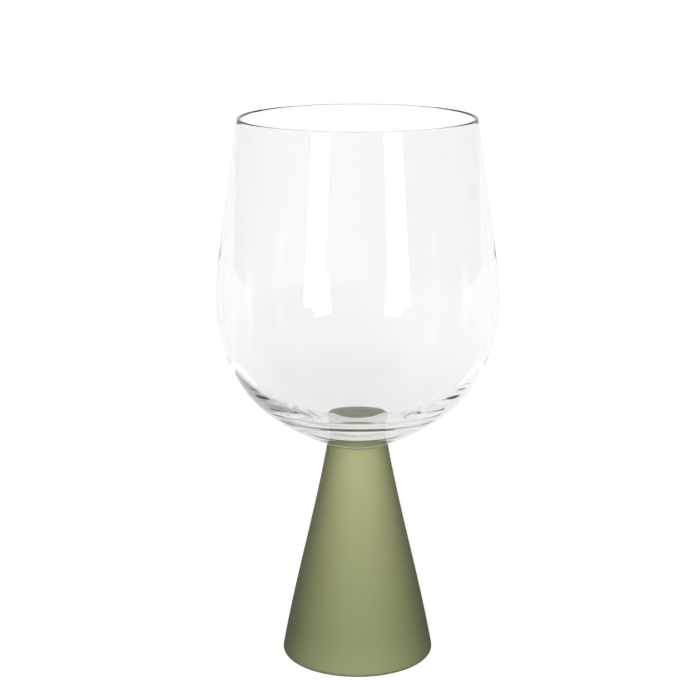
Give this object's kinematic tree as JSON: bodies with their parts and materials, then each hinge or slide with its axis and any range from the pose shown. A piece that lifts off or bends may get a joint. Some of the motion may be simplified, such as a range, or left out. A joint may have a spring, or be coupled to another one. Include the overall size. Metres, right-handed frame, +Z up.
{
  "type": "wine glass",
  "caption": "Goblet with a deep clear glass bowl on a solid, satin, sage-green glass cone that is both stem and foot.",
  "frame": {"origin": "centre of the ring that the glass stands on", "axes": "+Z up along the axis of the stem and the bowl; the glass is round, so +X and +Y are free"},
  "size_m": [0.09, 0.09, 0.1773],
  "materials": {
    "clear_glass": "clear, fire-polished",
    "clear_cement": "clear cured adhesive that shows the green glass under it",
    "tinted_glass": "opaque sage green, satin"
  },
  "bodies": {
    "root": {"bowl": "clear_glass", "cement": "clear_cement", "stem": "tinted_glass"}
  },
  "joints": []
}
